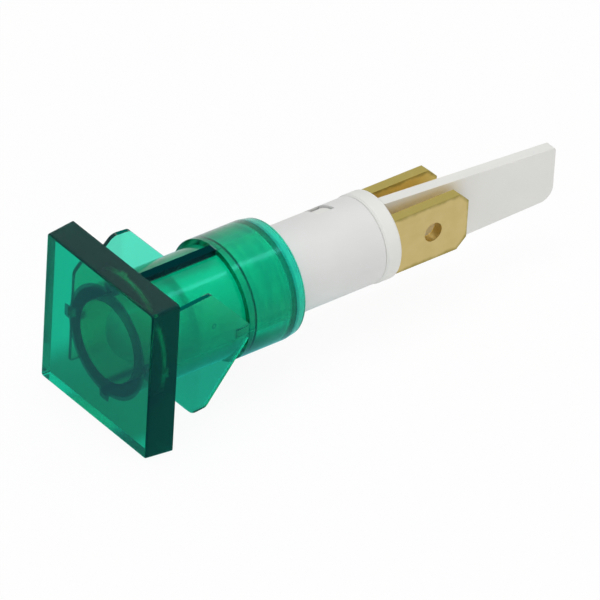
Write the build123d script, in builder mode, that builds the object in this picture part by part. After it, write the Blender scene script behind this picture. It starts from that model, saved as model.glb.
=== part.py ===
"""Square panel pilot light with a neon glow lamp and two push-on tabs.

The light snaps into a round hole in a panel.  Y is the lamp axis: the head
looks toward -Y, the tabs point toward +Y, and +Z is up.  The origin is the
centre of the head's back face, where the panel's front surface lies.
Lengths are in millimetres.
"""
from build123d import *
import os

# Square head of the lens moulding
head_width = 12.7
head_front_width = 12.4
head_depth = 2.3
head_corner_radius = 0.25
head_edge_radius = 0.15

# Barrel behind the head, and the collar that fills the panel hole last
barrel_radius = 4.15
collar_radius = 4.6
collar_front = 7.9
collar_length = 5.1
collar_lead = 0.12
collar_lead_length = 0.75
lens_wall = 2.4
bore_radius = 3.15

# Centring ribs on the barrel: long ones above and below, short ones behind
# the free ends of the wings
rib_width = 0.7
short_rib_length = 0.9

# Snap wings, hinged at the collar and flared toward the head, each with one
# front corner cut off
wing_thickness = 0.36
wing_width = 9.75
wing_gap = 0.75
wing_straight = 3.2
wing_flare = 0.72
wing_inset = 0.05
wing_root_width = 1.2
wing_cut_length = 1.85
wing_cut_width = 2.1
wing_cut_radius = 0.9
wing_rear_radius = 0.4
hinge_web_length = 1.1

# White tube that holds the lamp, with a thinner neck inside the barrel
tube_radius = 3.34
tube_wall = 0.55
tube_front = 9.05
tube_length = 12.3
tube_clearance = 0.02
neck_length = 4.95
neck_clearance = 0.06
lamp_clearance = 0.1
edge_chamfer = 0.12
seat_draft = 0.08
mouth_clearance = 0.64
mouth_length = 0.6
mouth_draft = 0.24

# Windows in the tube and the nibs that latch in them
window_start = 3.55
window_length = 1.5
window_inner = 0.5
window_outer = 2.3
nib_clearance = 0.08
nib_depth = 0.2

# White terminal carrier: plug, ring and barrier blade
plug_length = 4.3
plug_clearance = 0.03
ring_radius = 3.42
ring_length = 1.33
blade_thickness = 0.9
blade_length = 16.5
blade_root_top = 2.7
blade_root_bottom = 3.3
blade_tip_top = 1.48
blade_tip_bottom = 2.93
blade_top_radius = 0.2
blade_bottom_radius = 1.1

# Brass terminals: 4.8 x 0.8 push-on tabs with a narrow leg
tab_width = 4.8
tab_thickness = 0.8
tab_length = 7.05
tab_spacing = 3.7
tab_corner_length = 1.0
tab_corner_width = 0.95
tab_tip_chamfer = 0.15
tab_hole_radius = 0.78
tab_hole_setback = 3.3
leg_width = 2.4
leg_reach = 1.1
slot_clearance = 0.02

# Neon glow lamp
lamp_radius = 2.4
lamp_glass = 0.4
lamp_front = 0.5
pinch_length = 1.3
pinch_thickness = 1.7
pinch_width = 3.2
electrode_radius = 0.35
electrode_setback = 2.5
electrode_spacing = 1.5
electrode_lift = 0.5
wire_radius = 0.2
wire_bend_radius = 0.6
wire_bend_start = 0.3
wire_bend_run = 0.7

# Series resistor, splice, sleeve and solder
resistor_length = 3.2
resistor_setback = 0.25
cap_radius = 0.95
cap_length = 0.7
cap_wall = 0.1
splice_radius = 0.42
splice_length = 0.7
splice_space = 1.2
sleeve_wall = 0.2
sleeve_front = 0.3
sleeve_rear = 0.4
solder_length = 0.8
solder_height = 0.34
solder_gap = 0.1

# Places along the axis that follow from the sizes above
collar_rear = collar_front + collar_length
bore_front = lens_wall - head_depth
tube_rear = tube_front + tube_length
tube_bore = tube_radius - tube_wall
socket_radius = tube_radius + tube_clearance
mouth_radius = tube_radius + mouth_clearance
neck_front = tube_front - neck_length
neck_radius = bore_radius - neck_clearance
neck_bore = lamp_radius + lamp_clearance
wing_rear = wing_gap + wing_straight
plug_front = tube_rear - plug_length
plug_radius = tube_bore - plug_clearance
ring_rear = tube_rear + ring_length
window_front = tube_rear - window_start
tab_offset = tab_spacing / 2
tab_inner = tab_offset - tab_thickness / 2
tab_tip = ring_rear + tab_length
leg_front = plug_front - leg_reach
wire_offset = tab_inner - wire_radius
wire_rear = plug_front - slot_clearance
resistor_rear = leg_front - resistor_setback
resistor_front = resistor_rear - resistor_length
splice_middle = resistor_front - splice_space / 2
bend_rear = resistor_front - splice_space
bend_front = bend_rear - wire_bend_run
lamp_rear = bend_front - wire_bend_start
pinch_front = lamp_rear - pinch_length
electrode_offset = electrode_spacing / 2
electrode_rear = pinch_front - lamp_glass
electrode_front = lamp_front + lamp_glass + electrode_setback
solder_front = plug_front - (leg_reach + solder_length) / 2


# One green moulding: the square head is the lens, the barrel behind it is
# hollow, the collar takes the tube and two thin wings spring out of it.
with BuildPart() as lens_housing:
    with BuildSketch(Plane.XZ):
        RectangleRounded(head_width, head_width, head_corner_radius)
    with BuildSketch(Plane.XZ.offset(head_depth)):
        RectangleRounded(head_front_width, head_front_width, head_corner_radius)
    loft()
    front_rim = faces().sort_by(Axis.Y)[0].edges()
    fillet(front_rim, head_edge_radius)
    with BuildSketch(Plane.XY):
        with BuildLine():
            Polyline(
                (0, 0),
                (barrel_radius, 0),
                (barrel_radius, collar_front),
                (collar_radius, collar_front),
                (collar_radius, collar_rear - collar_lead_length),
                (collar_radius - collar_lead, collar_rear),
                (0, collar_rear),
                close=True,
            )
        make_face()
    revolve(axis=Axis.Y)
    # Long ribs above and below, short ribs at the two sides
    with BuildSketch(Plane.XZ):
        Rectangle(rib_width, 2 * collar_radius)
    extrude(amount=-collar_front)
    with BuildSketch(Plane.XZ):
        Rectangle(2 * collar_radius, rib_width)
    extrude(amount=-short_rib_length)
    # Wings: a flat leaf on a plane that leans out toward the head, carried
    # by a short web where its narrow root meets the barrel.  The second wing
    # is the first turned half a turn, so their cut corners are opposite.
    wing_plane = Plane(
        origin=(collar_radius - wing_inset, collar_front, 0),
        x_dir=(-wing_flare, collar_front - wing_gap, 0),
        z_dir=(collar_front - wing_gap, wing_flare, 0),
    )
    with BuildSketch(wing_plane) as wing_outline:
        with BuildLine():
            Polyline(
                (wing_gap - collar_front, wing_cut_width - wing_width / 2),
                (wing_gap + wing_cut_length - collar_front, -wing_width / 2),
                (wing_rear - collar_front, -wing_width / 2),
                (0, -wing_root_width / 2),
                (wing_thickness, -wing_root_width / 2),
                (wing_thickness, wing_root_width / 2),
                (0, wing_root_width / 2),
                (wing_rear - collar_front, wing_width / 2),
                (wing_gap - collar_front, wing_width / 2),
                close=True,
            )
        make_face()
        fillet(wing_outline.vertices().group_by(Axis.X)[2], wing_rear_radius)
        fillet(wing_outline.vertices().group_by(Axis.X)[1], wing_cut_radius)
        fillet(wing_outline.vertices().group_by(Axis.X)[0].sort_by(Axis.Y)[0], wing_cut_radius)
    wing = extrude(amount=-wing_thickness)
    with BuildSketch(Plane.XY):
        with BuildLine():
            Polyline(
                (barrel_radius - wing_thickness, collar_front - hinge_web_length),
                (collar_radius - wing_thickness / 2, collar_front - hinge_web_length),
                (collar_radius - wing_thickness / 2, collar_front + wing_thickness),
                (barrel_radius - wing_thickness, collar_front + wing_thickness),
                close=True,
            )
        make_face()
    web = extrude(amount=rib_width / 2, both=True)
    add([wing.rotate(Axis.Y, 180), web.rotate(Axis.Y, 180)])
    # Bore for the lamp, socket for the tube and a wider mouth, both steps a
    # little conical
    with BuildSketch(Plane.XY):
        with BuildLine():
            Polyline(
                (0, bore_front),
                (bore_radius, bore_front),
                (bore_radius, tube_front - seat_draft),
                (socket_radius, tube_front),
                (socket_radius, collar_rear - mouth_length - mouth_draft),
                (mouth_radius, collar_rear - mouth_length),
                (mouth_radius, collar_rear),
                (0, collar_rear),
                close=True,
            )
        make_face()
    revolve(axis=Axis.Y, mode=Mode.SUBTRACT)
lens_housing.part.label = "lens_housing"


# White tube: it seats on the step in the socket and carries the plug.  Its
# neck runs forward inside the barrel and holds the lamp.
with BuildPart() as lamp_tube:
    with BuildSketch(Plane.XY):
        with BuildLine():
            Polyline(
                (neck_bore, neck_front),
                (neck_radius, neck_front),
                (neck_radius, tube_front),
                (tube_radius, tube_front),
                (tube_radius, tube_rear - edge_chamfer),
                (tube_radius - edge_chamfer, tube_rear),
                (tube_bore, tube_rear),
                (tube_bore, tube_front + tube_wall),
                (neck_bore, tube_front + tube_wall),
                close=True,
            )
        make_face()
    revolve(axis=Axis.Y)
    # Two latch windows, one turned half a turn from the other
    with BuildSketch(Plane.XY):
        with Locations((-window_inner, window_front)):
            Rectangle(window_outer - window_inner, window_length, align=(Align.MAX, Align.MIN))
    extrude(amount=tube_radius, mode=Mode.SUBTRACT)
    with BuildSketch(Plane.XY):
        with Locations((window_inner, window_front)):
            Rectangle(window_outer - window_inner, window_length, align=(Align.MIN, Align.MIN))
    extrude(amount=-tube_radius, mode=Mode.SUBTRACT)
lamp_tube.part.label = "lamp_tube"


# White carrier: a plug in the tube, a ring that closes it and a long blade
# that keeps the two tabs apart.
with BuildPart() as terminal_carrier:
    with BuildSketch(Plane.XY):
        with BuildLine():
            Polyline(
                (0, plug_front),
                (plug_radius - edge_chamfer, plug_front),
                (plug_radius, plug_front + edge_chamfer),
                (plug_radius, tube_rear),
                (ring_radius - edge_chamfer, tube_rear),
                (ring_radius, tube_rear + edge_chamfer),
                (ring_radius, ring_rear - edge_chamfer),
                (ring_radius - edge_chamfer, ring_rear),
                (0, ring_rear),
                close=True,
            )
        make_face()
    revolve(axis=Axis.Y)
    # Nibs that snap into the windows of the tube
    nib_width = window_outer - window_inner - 2 * nib_clearance
    nib_length = window_length - 2 * nib_clearance
    nib_middle = (window_inner + window_outer) / 2
    with BuildSketch(Plane.XY):
        with Locations((nib_middle, window_front + window_length / 2)):
            Rectangle(nib_width, nib_length)
    extrude(amount=-tube_radius)
    with BuildSketch(Plane.XY):
        with Locations((-nib_middle, window_front + window_length / 2)):
            Rectangle(nib_width, nib_length)
    extrude(amount=tube_radius)
    with BuildSketch(Plane.XZ.offset(-plug_front)):
        Circle(2 * ring_radius)
        Circle(tube_radius - nib_depth, mode=Mode.SUBTRACT)
    extrude(amount=-(plug_length - edge_chamfer), mode=Mode.SUBTRACT)
    # Barrier blade, its top edge falling toward the tip
    with BuildSketch(Plane.YZ) as blade_outline:
        with BuildLine():
            Polyline(
                (ring_rear - ring_length / 2, -blade_root_bottom),
                (ring_rear, -blade_root_bottom),
                (ring_rear + blade_length, -blade_tip_bottom),
                (ring_rear + blade_length, blade_tip_top),
                (ring_rear, blade_root_top),
                (ring_rear - ring_length / 2, blade_root_top),
                close=True,
            )
        make_face()
        fillet(blade_outline.vertices().group_by(Axis.X)[-1].sort_by(Axis.Y)[0], blade_bottom_radius)
        fillet(blade_outline.vertices().group_by(Axis.X)[-1].sort_by(Axis.Y)[-1], blade_top_radius)
    extrude(amount=blade_thickness / 2, both=True)
    # Slots for the legs of the terminals
    with BuildSketch(Plane.XZ.offset(-plug_front)):
        with Locations((tab_offset, 0), (-tab_offset, 0)):
            Rectangle(tab_thickness + 2 * slot_clearance, leg_width + 2 * slot_clearance)
    extrude(amount=-(plug_length + ring_length), mode=Mode.SUBTRACT)
terminal_carrier.part.label = "terminal_carrier"


# Brass terminal: the wide tab stands on the ring, the leg runs through it.
with BuildPart() as terminal_right:
    with BuildSketch(Plane.YZ.offset(tab_inner)) as tab_outline:
        with BuildLine():
            Polyline(
                (leg_front, -leg_width / 2),
                (ring_rear, -leg_width / 2),
                (ring_rear, -tab_width / 2),
                (tab_tip - tab_corner_length, -tab_width / 2),
                (tab_tip, -tab_width / 2 + tab_corner_width),
                (tab_tip, tab_width / 2 - tab_corner_width),
                (tab_tip - tab_corner_length, tab_width / 2),
                (ring_rear, tab_width / 2),
                (ring_rear, leg_width / 2),
                (leg_front, leg_width / 2),
                close=True,
            )
        make_face()
        with Locations((tab_tip - tab_hole_setback, 0)):
            Circle(tab_hole_radius, mode=Mode.SUBTRACT)
    extrude(amount=tab_thickness)
    tip_face = faces().sort_by(Axis.Y)[-1]
    chamfer(tip_face.edges().filter_by(Axis.Z), tab_tip_chamfer)
terminal_right.part.label = "terminal_right"

with BuildPart() as terminal_left:
    add(terminal_right.part.rotate(Axis.Y, 180))
terminal_left.part.label = "terminal_left"


# Glass envelope of the glow lamp: domed front, flattened pinch at the rear,
# closed round the two lead wires.
with BuildPart() as lamp_envelope:
    with BuildSketch(Plane.XY):
        with BuildLine():
            Line((0, lamp_front), (0, pinch_front))
            Line((0, pinch_front), (lamp_radius, pinch_front))
            Line((lamp_radius, pinch_front), (lamp_radius, lamp_front + lamp_radius))
            RadiusArc((lamp_radius, lamp_front + lamp_radius), (0, lamp_front), lamp_radius)
        make_face()
    revolve(axis=Axis.Y)
    rear_rim = edges().filter_by(GeomType.CIRCLE).sort_by(Axis.Y)[-1]
    chamfer(rear_rim, lamp_glass)
    with BuildSketch(Plane.XZ.offset(-pinch_front)):
        Rectangle(pinch_width, pinch_thickness)
    extrude(amount=-pinch_length)
    inner_radius = lamp_radius - lamp_glass
    with BuildSketch(Plane.XY):
        with BuildLine():
            Line((0, lamp_front + lamp_glass), (0, electrode_rear))
            Line((0, electrode_rear), (inner_radius, electrode_rear))
            Line((inner_radius, electrode_rear), (inner_radius, lamp_front + lamp_radius))
            RadiusArc((inner_radius, lamp_front + lamp_radius), (0, lamp_front + lamp_glass), inner_radius)
        make_face()
    revolve(axis=Axis.Y, mode=Mode.SUBTRACT)
    with BuildSketch(Plane.XZ.offset(-electrode_rear)):
        with Locations((electrode_offset, 0), (-electrode_offset, 0)):
            Circle(wire_radius)
    extrude(amount=-(lamp_rear - electrode_rear), mode=Mode.SUBTRACT)
lamp_envelope.part.label = "lamp_envelope"


# Nickel electrodes, side by side inside the glass
with BuildPart() as electrode_right:
    with BuildSketch(Plane.XZ.offset(-electrode_front)):
        with Locations((electrode_offset, 0)):
            Circle(electrode_radius)
    extrude(amount=-(electrode_rear - electrode_lift - electrode_front))
electrode_right.part.label = "electrode_right"

with BuildPart() as electrode_left:
    add(electrode_right.part.rotate(Axis.Y, 180))
electrode_left.part.label = "electrode_left"


# Lead wires of the lamp: out through the pinch, then bent outward in line
# with the terminal on the right and the resistor on the left.
with BuildPart() as lamp_lead_right:
    with BuildLine() as right_route:
        FilletPolyline(
            (electrode_offset, electrode_rear - electrode_lift, 0),
            (electrode_offset, bend_front, 0),
            (wire_offset, bend_rear, 0),
            (wire_offset, wire_rear, 0),
            radius=wire_bend_radius,
        )
    with BuildSketch(Plane(origin=right_route.line @ 0, z_dir=right_route.line % 0)):
        Circle(wire_radius)
    sweep()
lamp_lead_right.part.label = "lamp_lead_right"

with BuildPart() as lamp_lead_left:
    with BuildLine() as left_route:
        FilletPolyline(
            (-electrode_offset, electrode_rear - electrode_lift, 0),
            (-electrode_offset, bend_front, 0),
            (-wire_offset, bend_rear, 0),
            (-wire_offset, splice_middle, 0),
            radius=wire_bend_radius,
        )
    with BuildSketch(Plane(origin=left_route.line @ 0, z_dir=left_route.line % 0)):
        Circle(wire_radius)
    sweep()
lamp_lead_left.part.label = "lamp_lead_left"


# Series resistor: its body fills two pressed end caps, each with a lead.
with BuildPart() as resistor_body:
    with BuildSketch(Plane.XZ.offset(-(resistor_front + cap_wall))):
        with Locations((-wire_offset, 0)):
            Circle(cap_radius - cap_wall)
    extrude(amount=-(resistor_length - 2 * cap_wall))
resistor_body.part.label = "resistor_body"

with BuildPart() as resistor_cap_front:
    with BuildSketch(Plane.XZ.offset(-resistor_front)):
        with Locations((-wire_offset, 0)):
            Circle(cap_radius)
    extrude(amount=-cap_length)
    chamfer(edges().filter_by(GeomType.CIRCLE).sort_by(Axis.Y)[0], cap_wall)
    with BuildSketch(Plane.XZ.offset(-(resistor_front + cap_wall))):
        with Locations((-wire_offset, 0)):
            Circle(cap_radius - cap_wall)
    extrude(amount=-cap_length, mode=Mode.SUBTRACT)
resistor_cap_front.part.label = "resistor_cap_front"

with BuildPart() as resistor_cap_rear:
    cap_mirror = Plane.XZ.offset(-(resistor_front + resistor_length / 2))
    mirror(resistor_cap_front.part, about=cap_mirror)
resistor_cap_rear.part.label = "resistor_cap_rear"

with BuildPart() as resistor_lead_front:
    with BuildSketch(Plane.XZ.offset(-splice_middle)):
        with Locations((-wire_offset, 0)):
            Circle(wire_radius)
    extrude(amount=-(resistor_front - splice_middle))
resistor_lead_front.part.label = "resistor_lead_front"

with BuildPart() as resistor_lead_rear:
    with BuildSketch(Plane.XZ.offset(-resistor_rear)):
        with Locations((-wire_offset, 0)):
            Circle(wire_radius)
    extrude(amount=-(wire_rear - resistor_rear))
resistor_lead_rear.part.label = "resistor_lead_rear"


# Splice between the lamp's left lead and the resistor, a sleeve on the bare
# right lead, and the solder that holds each wire to its terminal.
with BuildPart() as lead_splice:
    with BuildSketch(Plane.XZ.offset(-(splice_middle - splice_length / 2))):
        with Locations((-wire_offset, 0)):
            Circle(splice_radius)
    extrude(amount=-splice_length)
    chamfer(edges().filter_by(GeomType.CIRCLE), (splice_radius - wire_radius) / 2)
    with BuildSketch(Plane.XZ.offset(-(splice_middle - splice_length / 2))):
        with Locations((-wire_offset, 0)):
            Circle(wire_radius)
    extrude(amount=-splice_length, mode=Mode.SUBTRACT)
lead_splice.part.label = "lead_splice"

with BuildPart() as lead_sleeve:
    with BuildSketch(Plane.XZ.offset(-(bend_rear + sleeve_front))):
        with Locations((wire_offset, 0)):
            Circle(wire_radius + sleeve_wall)
            Circle(wire_radius, mode=Mode.SUBTRACT)
    extrude(amount=-(leg_front - sleeve_rear - bend_rear - sleeve_front))
lead_sleeve.part.label = "lead_sleeve"

with BuildPart() as solder_right:
    with BuildSketch(Plane.XZ.offset(-solder_front)):
        with Locations((wire_offset, 0)):
            Circle(solder_height)
            Circle(wire_radius, mode=Mode.SUBTRACT)
        with Locations((tab_inner, 0)):
            Rectangle(tab_thickness, leg_width, align=(Align.MIN, Align.CENTER), mode=Mode.SUBTRACT)
            Rectangle(solder_gap, solder_gap, mode=Mode.SUBTRACT)
    extrude(amount=-solder_length)
solder_right.part.label = "solder_right"

with BuildPart() as solder_left:
    add(solder_right.part.rotate(Axis.Y, 180))
solder_left.part.label = "solder_left"


os.makedirs("parts", exist_ok=True)
for piece in (
    lens_housing,
    lamp_tube,
    terminal_carrier,
    terminal_right,
    terminal_left,
    lamp_envelope,
    electrode_right,
    electrode_left,
    lamp_lead_right,
    lamp_lead_left,
    resistor_body,
    resistor_cap_front,
    resistor_cap_rear,
    resistor_lead_front,
    resistor_lead_rear,
    lead_splice,
    lead_sleeve,
    solder_right,
    solder_left,
):
    export_step(piece.part, f"parts/{piece.part.label}.step")
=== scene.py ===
import bpy
from mathutils import Matrix, Vector


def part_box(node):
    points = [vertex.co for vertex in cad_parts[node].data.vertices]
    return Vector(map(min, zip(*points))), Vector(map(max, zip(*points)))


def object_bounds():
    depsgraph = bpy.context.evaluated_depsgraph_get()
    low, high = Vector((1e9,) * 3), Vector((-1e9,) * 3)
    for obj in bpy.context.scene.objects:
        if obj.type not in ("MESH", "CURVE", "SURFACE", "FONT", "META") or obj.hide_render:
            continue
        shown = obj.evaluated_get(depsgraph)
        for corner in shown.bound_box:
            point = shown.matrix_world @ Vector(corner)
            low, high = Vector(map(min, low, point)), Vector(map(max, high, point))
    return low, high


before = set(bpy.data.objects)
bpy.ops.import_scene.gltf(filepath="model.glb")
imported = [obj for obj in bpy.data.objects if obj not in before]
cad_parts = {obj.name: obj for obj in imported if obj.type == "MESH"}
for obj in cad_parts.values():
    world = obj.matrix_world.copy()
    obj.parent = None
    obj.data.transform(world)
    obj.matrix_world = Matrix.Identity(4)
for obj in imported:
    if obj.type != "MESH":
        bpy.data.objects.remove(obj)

cad_low, cad_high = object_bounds()


# Lens moulding: square head, hollow barrel, collar and two snap wings in one
# piece of clear green polycarbonate, moulded in a tool that parts along its
# sides. The colour is in the plastic, so it deepens with its thickness.
millimetre = 0.001
barrel_radius = 4.15
bore_radius = 3.15
collar_front = 7.9
half_rib = 0.35


class Wire:
    """An output socket. Sums and products of wires become Math nodes."""

    def __init__(self, nodes, socket):
        self.nodes = nodes
        self.socket = socket

    def maths(self, operation, *values):
        sockets = dict(enumerate((self,) + values))
        return self.nodes.node("ShaderNodeMath", {"operation": operation}, sockets)

    def __add__(self, other):
        return self.maths("ADD", other)

    def __sub__(self, other):
        return self.maths("SUBTRACT", other)

    def __rsub__(self, other):
        return self * -1 + other

    def __mul__(self, other):
        return self.maths("MULTIPLY", other)

    def __truediv__(self, other):
        return self.maths("DIVIDE", other)

    def __abs__(self):
        return self.maths("ABSOLUTE")

    __radd__ = __add__
    __rmul__ = __mul__

    def near(self, middle, half_width):
        """1 at middle, falling to 0 at half_width from it."""
        return (1 - abs(self - middle) / half_width).maths("MAXIMUM", 0)

    def above(self, start, full):
        """0 up to start, 1 from full, and smooth between."""
        settings = {"interpolation_type": "SMOOTHSTEP"}
        sockets = {"Value": self, "From Min": start, "From Max": full}
        return self.nodes.node("ShaderNodeMapRange", settings, sockets)

    def below(self, last, end):
        """1 up to last, 0 from end, and smooth between."""
        return self.above(end, last)

    def between(self, start, full, last, end):
        """0 up to start, 1 from full to last, 0 from end, and smooth between."""
        return self.above(start, full) * self.below(last, end)


class Nodes:
    """Makes and links the shader nodes of one tree."""

    def __init__(self, tree):
        self.tree = tree

    def fill(self, node, sockets):
        for name, value in sockets.items():
            if isinstance(value, Wire):
                self.tree.links.new(value.socket, node.inputs[name])
            else:
                node.inputs[name].default_value = value

    def node(self, kind, settings={}, sockets={}, output=0):
        made = self.tree.nodes.new(kind)
        for name, value in settings.items():
            setattr(made, name, value)
        self.fill(made, sockets)
        return Wire(self, made.outputs[output])

    def ray(self, kind):
        """1 for rays of one kind, such as Camera or Shadow, and 0 for others."""
        return self.node("ShaderNodeLightPath", output=f"Is {kind} Ray")


class Finish(Nodes):
    """A procedural material with one Principled shader, measured in millimetres."""

    def __init__(self, name, **shader):
        self.material = bpy.data.materials.new(name)
        self.material.use_nodes = True
        super().__init__(self.material.node_tree)
        self.shader = self.tree.nodes["Principled BSDF"]
        self.output = self.tree.nodes["Material Output"]
        self.fill(self.shader, shader)
        self.place = self.node("ShaderNodeTexCoord", output="Object")
        self.x = self.along("X")
        self.y = self.along("Y")
        self.z = self.along("Z")

    def along(self, axis):
        part = self.node("ShaderNodeSeparateXYZ", sockets={0: self.place}, output=axis)
        return part / millimetre

    def stretched(self, scale):
        """The object's coordinates, scaled differently along each axis."""
        return self.node("ShaderNodeMapping", sockets={"Vector": self.place, "Scale": scale})

    def noise(self, size, detail=3.0, place=None):
        """Soft random pattern whose blotches are about size across."""
        sockets = {"Vector": place or self.place, "Scale": 1 / (size * millimetre), "Detail": detail}
        return self.node("ShaderNodeTexNoise", sockets=sockets)

    def blend(self, share, first, second):
        sockets = {0: share, 6: first, 7: second}
        return self.node("ShaderNodeMix", {"data_type": "RGBA"}, sockets, output=2)

    def relief(self, height, depth, strength):
        """A normal for a relief of the given depth; height runs from 0 to 1."""
        sockets = {"Height": height, "Distance": depth * millimetre, "Strength": strength}
        self.fill(self.shader, {"Normal": self.node("ShaderNodeBump", sockets=sockets)})

    def mix_shaders(self, share, first, second):
        sockets = {0: share, 1: first, 2: second}
        self.fill(self.output, {"Surface": self.node("ShaderNodeMixShader", sockets=sockets)})

    def let_lamps_through(self):
        """Rays from the lamps pass straight through instead of casting a black shadow."""
        clear = self.node("ShaderNodeBsdfTransparent")
        self.mix_shaders(self.ray("Shadow"), Wire(self, self.shader.outputs[0]), clear)

    def dye(self, colour, density):
        """Colour taken out of the light on its way through the material, per metre."""
        sockets = {"Color": colour, "Density": density}
        self.fill(self.output, {"Volume": self.node("ShaderNodeVolumeAbsorption", sockets=sockets)})


def distance(first, second):
    return (first * first + second * second).maths("SQRT")


def finish_nodes(finish, *names):
    for name in names:
        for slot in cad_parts[name].material_slots:
            slot.material = finish.material


def clear_green_plastic():
    green = Finish("clear_green", IOR=1.53)
    green.fill(green.shader, {"Transmission Weight": 1.0, "Specular Tint": (0.12, 1.0, 1.0, 1)})
    x, y, z = green.x, green.y, green.z
    radius = distance(x, z)

    # The surface tints the light a little, most in the thin wings
    head_tint, body_tint = (1.0, 1.0, 0.86, 1), (1.0, 1.0, 0.79, 1)
    wing_tint = (1.0, 0.84, 0.66, 1)
    wing = abs(x).above(4.62, 4.68) * y.above(0.3, 0.4)
    colour = green.blend(y.above(0.1, 0.3), head_tint, body_tint)
    colour = green.blend(wing, colour, wing_tint)

    # The collar starts with a faint line and keeps soft flow streaks round it
    line_tint, streak_tint = (0.6, 0.72, 0.82, 1), (0.76, 0.72, 0.66, 1)
    line = abs(y - collar_front).below(0.056, 0.08)
    line = line * radius.above(barrel_radius - 0.07, barrel_radius + 0.03)
    collar = radius.above(4.3, 4.45) * y.above(collar_front, collar_front + 0.2)
    streaks = green.noise(0.8, place=green.stretched((0.3, 1, 0.3)))
    streaked = collar * (0.1 + 0.9 * streaks.above(0.4, 0.62))
    colour = green.blend(line, colour, line_tint)
    colour = green.blend(streaked, colour, streak_tint)

    # Where the plastic was let into the tool, a dot is left on the right wing
    gate_along, gate_up, gate_radius = 4.35, 2.0, 0.16
    gate = distance(y - gate_along, z - gate_up).near(gate_radius, 0.1) * x.above(4.6, 4.64)
    colour = green.blend(0.8 * gate, colour, (0.15, 0.2, 0.2, 1))

    # Painted shade: a dark band is painted inside the rim of the collar, where its mouth starts
    band = collar * y.between(11.9, 12.15, 12.3, 12.48)
    colour = green.blend(band, colour, (0.4, 0.45, 0.45, 1))

    # Painted shade: where the barrel's root is seen through the head it is painted as a dark ring
    # with four nubs, and the two short ribs at its sides are painted as dark
    nubs = abs(x).maths("MINIMUM", abs(z)).below(0.48, 0.6)
    root_shade = abs(y).below(0.042, 0.06) * radius.above(barrel_radius - 0.1, barrel_radius)
    root_shade = root_shade * (radius - 0.55 * nubs).below(4.38, 4.48)
    short_rib = abs(z).below(0.32, 0.4) * abs(x).between(4.1, 4.16, 4.67, 4.74)
    short_rib = short_rib * y.between(0.0, 0.2, 0.92, 1.0)
    colour = green.blend(root_shade.maths("MAXIMUM", short_rib), colour, (0.5, 0.05, 0.07, 1))

    # Painted shade: little light comes back out of the narrow edges of the wings, and less
    # out of the long ribs above and below the barrel, so both are painted dark and made opaque as
    # metal
    wing_edge_shade = wing * abs(z).above(4.85, 4.87)
    rib = abs(x).below(half_rib + 0.0325, half_rib + 0.1) * abs(z).above(4.1, 4.16)
    rib = rib * y.between(0.0, 0.2, collar_front - 0.1, collar_front + 0.05)
    rib_top, rib_side = (0.01, 0.026, 0.03, 1), (0.05, 0.06, 0.11, 1)
    rib_shade = green.blend(abs(x).near(half_rib, 0.012), rib_top, rib_side)
    colour = green.blend(wing_edge_shade, colour, (0.0, 0.13, 0.10, 1))
    colour = green.blend(rib, colour, rib_shade)
    green.fill(green.shader, {"Base Color": colour, "Metallic": rib.maths("MAXIMUM", wing_edge_shade)})

    # The core that moulds the bore and the mouth leaves them matt. The sides of
    # the head, the barrel and the collar are less polished than the front
    bore = radius.below(bore_radius + 0.1, bore_radius + 0.25) * y.between(0.0, 0.3, 8.8, 9.0)
    mouth = radius.below(4.02, 4.1) * y.above(12.0, 12.1)
    head_side = abs(x).maths("MAXIMUM", abs(z)).above(6.1, 6.16)
    outside = radius.between(4.0, 4.1, 4.61, 4.64) * y.above(0.3, 0.5)
    haze = green.noise(0.5, detail=4.0)
    matt = 0.30 * bore + 0.45 * mouth + 0.13 * head_side + 0.07 * outside
    green.fill(green.shader, {"Roughness": 0.05 + 0.03 * haze + matt})
    flow = green.noise(2.6, detail=2.0)
    green.relief(flow + 0.06 * haze + 0.5 * streaks * collar + gate, 0.02, 0.35)
    green.dye((0.02, 0.948, 0.919, 1), 5600)
    green.let_lamps_through()
    return green


finish_nodes(clear_green_plastic(), "lens_housing")


# Lamp tube: extruded white plastic, cut square, with two punched windows for
# the latch of the terminal carrier. It seats on the step inside the collar.
def darker(colour, share):
    return tuple(share * part for part in colour[:3]) + (1,)


def white_plastic(name, colour, sheen, painted_bounce=None):
    white = Finish(name)
    cloud = white.noise(3.0, detail=2.0)
    grain = white.noise(0.12)
    plain = white.blend(cloud, darker(colour, 0.93), colour)
    if painted_bounce:
        # Painted light: the warm light the brass tabs throw on the blade between them is painted
        # into its colour
        tab_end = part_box("terminal_right")[1] / millimetre
        beside = abs(white.x).between(0.38, 0.44, 0.8, 1.2)
        beside = beside * white.y.below(tab_end.y - 1.5, tab_end.y + 1.2)
        beside = beside * abs(white.z).below(tab_end.z - 0.8, tab_end.z + 0.5)
        plain = white.blend(0.9 * beside, plain, painted_bounce)
    white.fill(white.shader, {"Base Color": plain, "Roughness": sheen + 0.1 * grain})
    white.relief(grain, 0.004, 0.4)
    return white


finish_nodes(white_plastic("tube_white", (0.765, 0.765, 0.755, 1), 0.38), "lamp_tube")


# Terminal carrier: plug, ring and barrier blade, moulded in the same white
# plastic as the tube but a little creamier. Its nibs latch in the windows.
carrier_cream = (0.815, 0.815, 0.785, 1)
# Painted light: the warm colour the brass reflects onto the blade
painted_brass_bounce = (0.86, 0.76, 0.52, 1)
carrier_white = white_plastic("carrier_white", carrier_cream, 0.42, painted_bounce=painted_brass_bounce)
finish_nodes(carrier_white, "terminal_carrier")


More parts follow.
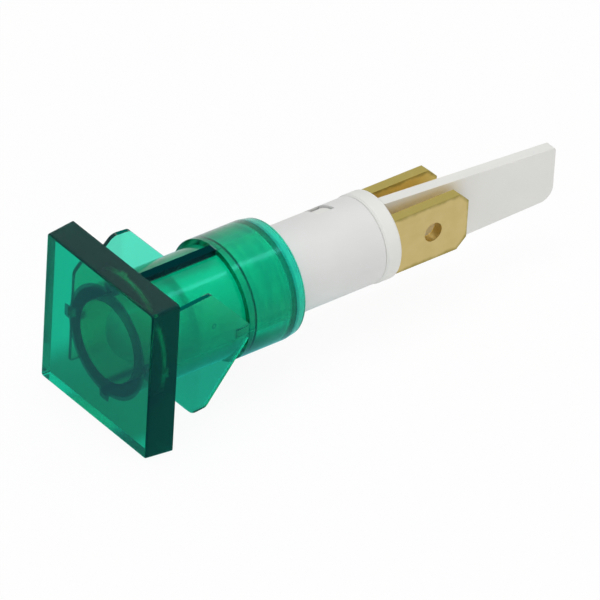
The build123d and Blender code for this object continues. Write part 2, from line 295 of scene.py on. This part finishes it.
# Terminals: two push-on tabs stamped from 0.8 mm brass strip, each with a
# round detent hole. The rolled faces are satin, the cut edges duller.
def stamped_brass():
    brass = Finish("stamped_brass", Metallic=1.0)
    low, high = (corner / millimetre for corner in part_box("terminal_right"))
    bright, tarnished = (0.74, 0.60, 0.27, 1), (0.64, 0.50, 0.19, 1)
    tarnish = brass.noise(1.1, detail=4.0)
    rolled = brass.noise(0.5, detail=4.0, place=brass.stretched((1, 0.12, 1)))
    colour = brass.blend(tarnish, tarnished, bright)
    # Painted reflection: the faces toward the blade only see brass and plastic, so their colour is
    # painted deeper
    inner = abs(brass.x).below(low.x + 0.02, low.x + 0.08)
    colour = brass.blend(inner, colour, (0.95, 0.76, 0.26, 1))
    # The cut edges and the burr beside them are darker than the rolled faces.
    # The corners of the tip are cut off 1.0 mm along the tab and 0.95 mm across
    corner_along, corner_across, corner_slant = 1.0, 0.95, 0.69
    to_side = high.z - abs(brass.z)
    to_tip = high.y - brass.y
    to_corner = (to_tip + to_side / corner_across - corner_along) * corner_slant
    inside = to_side.maths("MINIMUM", to_tip).maths("MINIMUM", to_corner)
    cut = (inside + 0.5 * tarnish).below(0.25, 0.60)
    colour = brass.blend(0.8 * cut, colour, (0.36, 0.30, 0.07, 1))
    brass.fill(brass.shader, {"Base Color": colour, "Roughness": 0.3 + 0.18 * rolled + 0.12 * cut})
    brass.relief(rolled + 0.5 * tarnish, 0.006, 0.5)
    return brass


finish_nodes(stamped_brass(), "terminal_right", "terminal_left")


# Glow lamp: a drawn glass envelope, pinched shut round two lead wires that
# carry the nickel electrodes. A thin coat of white phosphor on the inside
# turns its light green.
def coated_glass():
    glass = Finish("lamp_glass", IOR=1.5)
    thin_coat, thick_coat = (0.70, 0.74, 0.72, 1), (0.80, 0.83, 0.81, 1)
    coat = glass.noise(0.8, detail=2.0)
    colour = glass.blend(coat, thin_coat, thick_coat)
    glass.fill(glass.shader, {"Base Color": colour, "Transmission Weight": 0.3})
    glass.fill(glass.shader, {"Roughness": 0.1 + 0.04 * coat})
    glass.relief(coat, 0.01, 0.3)
    glass.let_lamps_through()
    return glass


def plain_metal(name, colour, rough):
    metal = Finish(name, Metallic=1.0)
    film = metal.noise(0.4)
    filmed = metal.blend(film, darker(colour, 0.75), colour)
    metal.fill(metal.shader, {"Base Color": filmed, "Roughness": rough + 0.15 * film})
    metal.relief(film, 0.004, 0.4)
    return metal


finish_nodes(coated_glass(), "lamp_envelope")
nickel = plain_metal("nickel", (0.62, 0.6, 0.56, 1), 0.35)
finish_nodes(nickel, "electrode_right", "electrode_left")
tinned_wire = plain_metal("tinned_wire", (0.7, 0.7, 0.7, 1), 0.25)
finish_nodes(tinned_wire, "lamp_lead_right", "lamp_lead_left")


# Series resistor: a lacquered ceramic rod between two pressed steel caps,
# with colour bands for its value painted round the lacquer.
def banded_lacquer():
    lacquer = Finish("banded_lacquer", Roughness=0.35)
    low, high = (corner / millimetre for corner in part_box("resistor_body"))
    length = high.y - low.y
    tan, brown = (0.45, 0.30, 0.16, 1), (0.16, 0.07, 0.03, 1)
    green, yellow = (0.03, 0.3, 0.06, 1), (0.8, 0.6, 0.03, 1)
    colour = tan
    for place, paint in ((0.35, brown), (0.45, green), (0.55, yellow)):
        band = lacquer.y.near(low.y + place * length, 0.05 * length)
        colour = lacquer.blend(band.above(0.15, 0.25), colour, paint)
    lacquer.fill(lacquer.shader, {"Base Color": colour})
    return lacquer


finish_nodes(banded_lacquer(), "resistor_body")
finish_nodes(tinned_wire, "resistor_cap_front", "resistor_cap_rear")
finish_nodes(tinned_wire, "resistor_lead_front", "resistor_lead_rear")


# Joints: the lamp is soldered to the resistor and both tabs take a drop of
# solder. A plastic sleeve keeps the other lead clear of the resistor.
solder = plain_metal("solder", (0.62, 0.62, 0.63, 1), 0.3)
finish_nodes(solder, "lead_splice", "solder_right", "solder_left")
finish_nodes(white_plastic("sleeve", (0.75, 0.72, 0.6, 1), 0.5), "lead_sleeve")


# Studio: a white floor under the light and soft lamps above it. The camera
# stands well away, above and to the right of the head.
white = (1.0, 1.0, 1.0, 1)


def studio_floor(level):
    half = 3.0
    corners = [(-half, -half), (half, -half), (half, half), (-half, half)]
    mesh = bpy.data.meshes.new("floor")
    mesh.from_pydata([corner + (level,) for corner in corners], [], [(0, 1, 2, 3)])
    floor = bpy.data.objects.new("floor", mesh)
    bpy.context.scene.collection.objects.link(floor)
    paper = Finish("floor_paper", Roughness=0.9)
    paper.fill(paper.shader, {"Base Color": (0.9, 0.9, 0.9, 1)})
    through = paper.ray("Transmission")
    mirrored = paper.ray("Glossy") * (1 - through)
    # Painted shade: the green shadow of the plastic is painted on the floor under and beside it.
    # It is only seen through the plastic and mirrored in it
    painted_shade_under, painted_shade_beside = (0.05, 0.36, 0.28, 1), (0.16, 0.66, 0.70, 1)
    under = paper.x.between(-9.5, -6.5, 3.0, 5.0) * paper.y.between(-4.5, -2.0, 12.0, 16.0)
    beside = paper.blend(paper.y.below(12.0, 24.0), (0.8, 0.8, 0.8, 1), painted_shade_beside)
    colour = paper.blend(mirrored, white, beside)
    colour = paper.blend(through, colour, paper.blend(under, white, painted_shade_under))
    glow = paper.node("ShaderNodeEmission", sockets={"Color": colour})
    share = 0.93 * (paper.ray("Camera") + mirrored) + 0.8 * through
    paper.mix_shaders(share, Wire(paper, paper.shader.outputs[0]), glow)
    mesh.materials.append(paper.material)


def studio_world():
    """White where it is seen or shines through, dimmer in reflections and as light."""
    world = bpy.data.worlds.new("studio")
    world.use_nodes = True
    bpy.context.scene.world = world
    sky = Nodes(world.node_tree)
    seen = sky.ray("Camera").maths("MAXIMUM", sky.ray("Transmission"))
    as_light, in_reflections = 0.45, 0.75
    unseen = as_light + (in_reflections - as_light) * sky.ray("Glossy")
    strength = seen + (1 - seen) * unseen
    sky.fill(world.node_tree.nodes["Background"], {"Color": white, "Strength": strength})


def soft_lamp(name, place, size, power):
    light = bpy.data.lights.new(name, "AREA")
    light.shape = "RECTANGLE"
    light.size, light.size_y = size
    light.energy = power
    lamp = bpy.data.objects.new(name, light)
    lamp.location = place
    middle_of_lens = Vector((0, 0.015, 0))
    to_lens = middle_of_lens - Vector(place)
    lamp.rotation_euler = to_lens.to_track_quat("-Z", "Y").to_euler()
    bpy.context.scene.collection.objects.link(lamp)


studio_floor(cad_low.z)
studio_world()
soft_lamp("key", (0.09, 0.34, 0.5), (0.07, 0.14), 0.10)
soft_lamp("top", (-0.1, 0.0, 0.9), (0.6, 0.6), 3.6)
soft_lamp("fill", (0.5, -0.25, 0.25), (0.4, 0.4), 1.0)

camera_place = Vector((0.46881, -0.37573, 0.42783))
camera_ahead = Vector((-0.6269, 0.5241, -0.5765)).normalized()
camera_up = Vector((-0.4808, 0.3219, 0.8156)).normalized()
camera_right = camera_ahead.cross(camera_up).normalized()
camera_data = bpy.data.cameras.new("camera")
camera_data.lens = 624
camera_data.sensor_width = 36
camera_data.clip_start = 0.05
camera_data.clip_end = 20
camera = bpy.data.objects.new("camera", camera_data)
turn = Matrix((camera_right, camera_right.cross(camera_ahead), -camera_ahead)).transposed()
camera.matrix_world = Matrix.Translation(camera_place) @ turn.to_4x4()
bpy.context.scene.collection.objects.link(camera)
bpy.context.scene.camera = camera
bpy.context.scene.view_settings.view_transform = "Standard"
